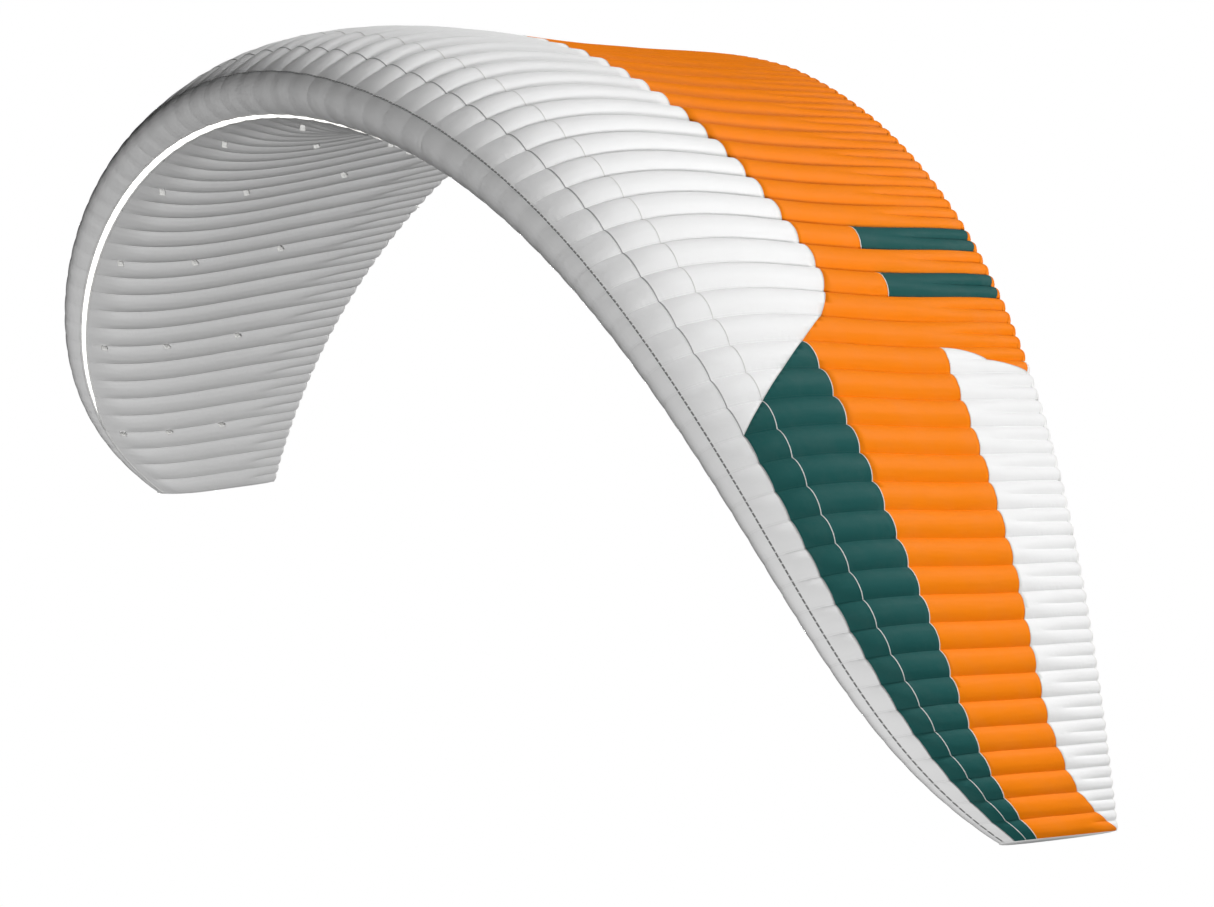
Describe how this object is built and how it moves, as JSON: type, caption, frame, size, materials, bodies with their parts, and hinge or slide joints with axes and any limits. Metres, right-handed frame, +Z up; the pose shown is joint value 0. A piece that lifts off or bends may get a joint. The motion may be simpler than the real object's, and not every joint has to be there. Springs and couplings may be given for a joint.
{
  "type": "paraglider canopy",
  "caption": "Arched ram-air canopy of cloth cells with a nose intake, ribs with cross-ports, line loops, rear steering flaps and folding wing tips.",
  "frame": {"origin": "middle of the lower sail at the second row of line loops, on the canopy's symmetry plane", "axes": "+X across the span to the left wing, +Z up, leading edge towards -Y"},
  "size_m": [8.6684, 2.5646, 3.2398],
  "materials": {
    "white_sail": "coated ripstop cloth, slight sheen",
    "orange_sail": "coated ripstop cloth, slight sheen",
    "teal_sail": "coated ripstop cloth, slight sheen",
    "lower_sail": "light ripstop cloth, matt",
    "rib_cloth": "hard resin-finished cloth",
    "webbing": "woven polyester tape",
    "rod_plastic": "extruded nylon rod"
  },
  "bodies": {
    "centre": {"nose_middle": "white_sail", "upper_middle": "white_sail", "lower_middle": "lower_sail", "nose_inner_left": "white_sail", "upper_front_inner_left": "white_sail", "upper_rear_inner_left": "orange_sail", "lower_inner_left": "lower_sail", "nose_flap_left": "white_sail", "upper_front_flap_left": "teal_sail", "upper_rear_flap_left": "orange_sail", "lower_flap_left": "lower_sail", "nose_outer_left": "white_sail", "upper_front_outer_left": "teal_sail", "upper_rear_outer_left": "orange_sail", "lower_outer_left": "lower_sail", "nose_inner_right": "white_sail", "upper_front_inner_right": "white_sail", "upper_rear_inner_right": "orange_sail", "lower_inner_right": "lower_sail", "nose_flap_right": "white_sail", "upper_front_flap_right": "teal_sail", "upper_rear_flap_right": "orange_sail", "lower_flap_right": "lower_sail", "nose_outer_right": "white_sail", "upper_front_outer_right": "teal_sail", "upper_rear_outer_right": "orange_sail", "lower_outer_right": "lower_sail", "rib_34_left": "rib_cloth", "rib_24_left": "rib_cloth", "rib_14_left": "rib_cloth", "rib_9_left": "rib_cloth", "rib_29_left": "rib_cloth", "rib_19_left": "rib_cloth", "rib_34_right": "rib_cloth", "rib_24_right": "rib_cloth", "rib_14_right": "rib_cloth", "rib_9_right": "rib_cloth", "rib_29_right": "rib_cloth", "rib_19_right": "rib_cloth", "nose_rod_left": "rod_plastic", "nose_rod_right": "rod_plastic", "span_tape": "webbing"},
    "left_flap": {"flap_upper_left": "orange_sail", "flap_lower_left": "lower_sail", "flap_rib_left": "rib_cloth", "flap_hem_left": "webbing"},
    "right_flap": {"flap_upper_right": "orange_sail", "flap_lower_right": "lower_sail", "flap_rib_right": "rib_cloth", "flap_hem_right": "webbing"},
    "left_tip": {"nose_tip_left": "white_sail", "upper_front_tip_left": "teal_sail", "upper_rear_tip_left": "orange_sail", "lower_tip_left": "lower_sail", "rib_0_left": "white_sail"},
    "right_tip": {"nose_tip_right": "white_sail", "upper_front_tip_right": "teal_sail", "upper_rear_tip_right": "orange_sail", "lower_tip_right": "lower_sail", "rib_0_right": "white_sail"}
  },
  "joints": [
    {"name": "left_flap_hinge", "type": "hinge", "parent": "centre", "child": "left_flap", "pos_m": [2.67464, 0.99897, -0.62216], "axis": [-0.8095, 0.0736, 0.5825], "range_deg": [0, 25], "stiffness_Nm_per_rad": 60},
    {"name": "left_tip_fold", "type": "hinge", "parent": "centre", "child": "left_tip", "pos_m": [3.70738, 0.30141, -1.82259], "axis": [-0.0245, 0.9996, -0.0157], "range_deg": [0, 70], "stiffness_Nm_per_rad": 120},
    {"name": "right_flap_hinge", "type": "hinge", "parent": "centre", "child": "right_flap", "pos_m": [-2.67464, 0.99897, -0.62216], "axis": [-0.8095, -0.0736, -0.5825], "range_deg": [0, 25], "stiffness_Nm_per_rad": 60},
    {"name": "right_tip_fold", "type": "hinge", "parent": "centre", "child": "right_tip", "pos_m": [-3.70738, 0.30141, -1.82259], "axis": [-0.0245, -0.9996, 0.0157], "range_deg": [0, 70], "stiffness_Nm_per_rad": 120}
  ]
}
